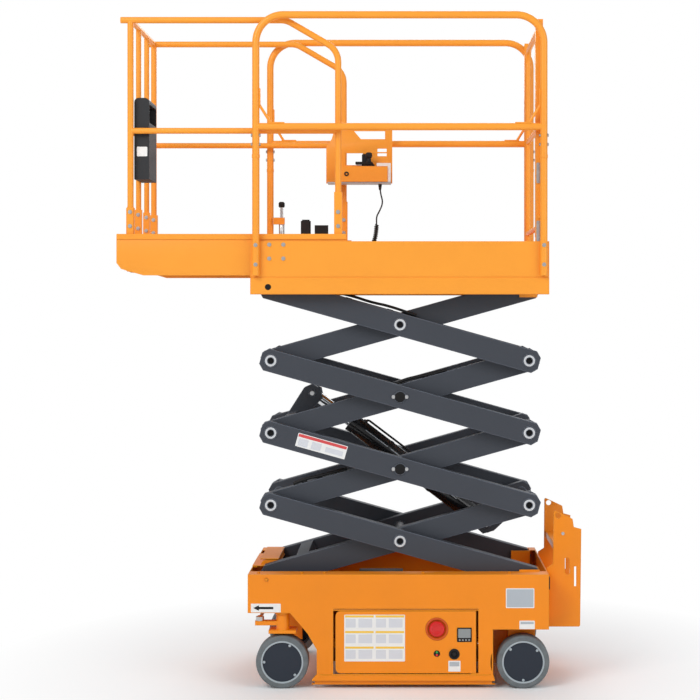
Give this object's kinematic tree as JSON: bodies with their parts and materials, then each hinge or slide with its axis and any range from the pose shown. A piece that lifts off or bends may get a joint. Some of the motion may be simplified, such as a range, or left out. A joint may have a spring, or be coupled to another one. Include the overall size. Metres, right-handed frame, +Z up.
{
  "type": "electric scissor lift",
  "caption": "Compact self-propelled scissor lift with steered front wheels, railed platform, roll-out deck, gate and swing-out trays.",
  "frame": {"origin": "on the ground under the middle of the machine's overall length and width, as it stands with the deck rolled out", "axes": "+Z up, -X towards the steered front and the roll-out deck, -Y the near side with the ground controls"},
  "size_m": [2.054, 0.76, 2.958],
  "materials": {
    "chassis_paint": "semi-gloss orange paint",
    "platform_paint": "semi-gloss light orange paint",
    "arm_paint": "satin dark grey paint",
    "wheel_paint": "satin dark grey paint",
    "black_paint": "gloss black paint",
    "grey_steel": "zinc plated",
    "chromed_rod": "ground and chromed",
    "tyre": "grey solid rubber",
    "black_plastic": "matt",
    "grey_plastic": "matt dark grey",
    "red_plastic": "gloss red",
    "cable_rubber": "matt black jacket"
  },
  "bodies": {
    "chassis": {"chassis_frame": "chassis_paint", "front_cover": "chassis_paint", "power_box": "black_plastic", "ladder": "chassis_paint"},
    "guard_near": {"pothole_guard_near": "chassis_paint"},
    "guard_far": {"pothole_guard_far": "chassis_paint"},
    "tray_near": {"tray_door_near": "chassis_paint", "battery_pack": "black_plastic", "ground_controls": "red_plastic"},
    "tray_far": {"tray_door_far": "chassis_paint", "hydraulic_pack": "grey_steel"},
    "knuckle_near": {"knuckle_near": "chassis_paint"},
    "knuckle_far": {"knuckle_far": "chassis_paint"},
    "tie_rod": {"tie_rod": "grey_steel"},
    "wheel_front_near": {"tyre_front_near": "tyre", "wheel_front_near": "wheel_paint"},
    "wheel_front_far": {"tyre_front_far": "tyre", "wheel_front_far": "wheel_paint"},
    "wheel_rear_near": {"tyre_rear_near": "tyre", "wheel_rear_near": "wheel_paint"},
    "wheel_rear_far": {"tyre_rear_far": "tyre", "wheel_rear_far": "wheel_paint"},
    "outer_1": {"outer_arms_1": "arm_paint"},
    "inner_1": {"inner_arms_1": "arm_paint"},
    "outer_2": {"outer_arms_2": "arm_paint"},
    "inner_2": {"inner_arms_2": "arm_paint"},
    "outer_3": {"outer_arms_3": "arm_paint"},
    "inner_3": {"inner_arms_3": "arm_paint"},
    "outer_4": {"outer_arms_4": "arm_paint"},
    "inner_4": {"inner_arms_4": "arm_paint"},
    "barrel": {"lift_barrel": "black_paint"},
    "rod": {"lift_rod": "chromed_rod"},
    "platform": {"platform_deck": "platform_paint", "toe_boards": "platform_paint", "side_rail_near": "platform_paint", "side_rail_far": "platform_paint", "rear_frame": "platform_paint", "deck_lock": "grey_steel"},
    "gate": {"gate": "platform_paint"},
    "extension": {"extension_deck": "platform_paint", "extension_toe_board": "platform_paint", "extension_rails": "platform_paint", "document_box": "grey_plastic", "control_box": "platform_paint", "joystick": "black_plastic", "control_cable": "cable_rubber", "curly_cable": "cable_rubber", "cable_gland": "black_plastic"}
  },
  "joints": [
    {"name": "lift", "type": "hinge", "parent": "chassis", "child": "outer_1", "pos_m": [0.78916, 0, 0.47], "axis": [0, 1, 0], "range_deg": [-9.6, 31.5]},
    {"name": "centre_1", "type": "hinge", "parent": "outer_1", "child": "inner_1", "pos_m": [0.218, 0, 0.62947], "axis": [0, 1, 0], "range_deg": [-63.05, 19.25]},
    {"name": "rear_pivot_1", "type": "hinge", "parent": "inner_1", "child": "outer_2", "pos_m": [0.78916, 0, 0.78894], "axis": [0, 1, 0], "range_deg": [-19.25, 63.05]},
    {"name": "centre_2", "type": "hinge", "parent": "outer_2", "child": "inner_2", "pos_m": [0.218, 0, 0.94841], "axis": [0, 1, 0], "range_deg": [-63.05, 19.25]},
    {"name": "rear_pivot_2", "type": "hinge", "parent": "inner_2", "child": "outer_3", "pos_m": [0.78916, 0, 1.10788], "axis": [0, 1, 0], "range_deg": [-19.25, 63.05]},
    {"name": "centre_3", "type": "hinge", "parent": "outer_3", "child": "inner_3", "pos_m": [0.218, 0, 1.26735], "axis": [0, 1, 0], "range_deg": [-63.05, 19.25]},
    {"name": "rear_pivot_3", "type": "hinge", "parent": "inner_3", "child": "outer_4", "pos_m": [0.78916, 0, 1.42682], "axis": [0, 1, 0], "range_deg": [-19.25, 63.05]},
    {"name": "centre_4", "type": "hinge", "parent": "outer_4", "child": "inner_4", "pos_m": [0.218, 0, 1.58629], "axis": [0, 1, 0], "range_deg": [-63.05, 19.25]},
    {"name": "deck_pivot", "type": "hinge", "parent": "inner_4", "child": "platform", "pos_m": [0.78916, 0, 1.74576], "axis": [0, 1, 0], "range_deg": [-9.65, 31.55]},
    {"name": "barrel_foot", "type": "hinge", "parent": "inner_1", "child": "barrel", "pos_m": [0.61219, 0, 0.66789], "axis": [0, 1, 0], "range_deg": [-18.39, 60.22]},
    {"name": "rod_stroke", "type": "slide", "parent": "barrel", "child": "rod", "axis": [-0.7977, 0, 0.603], "range_m": [-0.1383, 0.4514]},
    {"name": "deck_slide", "type": "slide", "parent": "platform", "child": "extension", "axis": [1, 0, 0], "range_m": [0, 0.55]},
    {"name": "gate_hinge", "type": "hinge", "parent": "platform", "child": "gate", "pos_m": [0.83, -0.278, 2.2], "axis": [0, 0, 1], "range_deg": [0, 90]},
    {"name": "tray_near_hinge", "type": "hinge", "parent": "chassis", "child": "tray_near", "pos_m": [0.542, -0.372, 0.2], "axis": [0, 0, 1], "range_deg": [0, 90]},
    {"name": "tray_far_hinge", "type": "hinge", "parent": "chassis", "child": "tray_far", "pos_m": [0.542, 0.372, 0.2], "axis": [0, 0, 1], "range_deg": [-90, 0]},
    {"name": "guard_near_hinge", "type": "hinge", "parent": "chassis", "child": "guard_near", "pos_m": [0.233, -0.368, 0.049], "axis": [1, 0, 0], "range_deg": [0, 80]},
    {"name": "guard_far_hinge", "type": "hinge", "parent": "chassis", "child": "guard_far", "pos_m": [0.233, 0.368, 0.049], "axis": [1, 0, 0], "range_deg": [-80, 0]},
    {"name": "steer_near", "type": "hinge", "parent": "chassis", "child": "knuckle_near", "pos_m": [-0.296, -0.34, 0.25], "axis": [0, 0, 1], "range_deg": [-45, 45]},
    {"name": "steer_far", "type": "hinge", "parent": "chassis", "child": "knuckle_far", "pos_m": [-0.296, 0.34, 0.25], "axis": [0, 0, 1], "range_deg": [-45.05, 45.05]},
    {"name": "tie_rod_pivot", "type": "hinge", "parent": "knuckle_near", "child": "tie_rod", "pos_m": [-0.396, -0.34, 0.299], "axis": [0, 0, 1], "range_deg": [-45.05, 45.05]},
    {"name": "spin_front_near", "type": "hinge", "parent": "knuckle_near", "child": "wheel_front_near", "pos_m": [-0.296, -0.34, 0.115], "axis": [0, 1, 0], "continuous": true},
    {"name": "spin_rear_near", "type": "hinge", "parent": "chassis", "child": "wheel_rear_near", "pos_m": [0.756, -0.34, 0.115], "axis": [0, 1, 0], "continuous": true},
    {"name": "spin_front_far", "type": "hinge", "parent": "knuckle_far", "child": "wheel_front_far", "pos_m": [-0.296, 0.34, 0.115], "axis": [0, 1, 0], "continuous": true},
    {"name": "spin_rear_far", "type": "hinge", "parent": "chassis", "child": "wheel_rear_far", "pos_m": [0.756, 0.34, 0.115], "axis": [0, 1, 0], "continuous": true}
  ],
  "couplings": [
    {"joint": "centre_1", "follows": "lift", "ratio": -2},
    {"joint": "rear_pivot_1", "follows": "lift", "ratio": 2},
    {"joint": "centre_2", "follows": "lift", "ratio": -2},
    {"joint": "rear_pivot_2", "follows": "lift", "ratio": 2},
    {"joint": "centre_3", "follows": "lift", "ratio": -2},
    {"joint": "rear_pivot_3", "follows": "lift", "ratio": 2},
    {"joint": "centre_4", "follows": "lift", "ratio": -2},
    {"joint": "deck_pivot", "follows": "lift", "ratio": 1},
    {"joint": "barrel_foot", "follows": "lift", "ratio": 1.91},
    {"joint": "rod_stroke", "follows": "lift", "m_per_rad": 0.8193},
    {"joint": "steer_far", "follows": "steer_near", "ratio": 1},
    {"joint": "tie_rod_pivot", "follows": "steer_near", "ratio": -1}
  ]
}
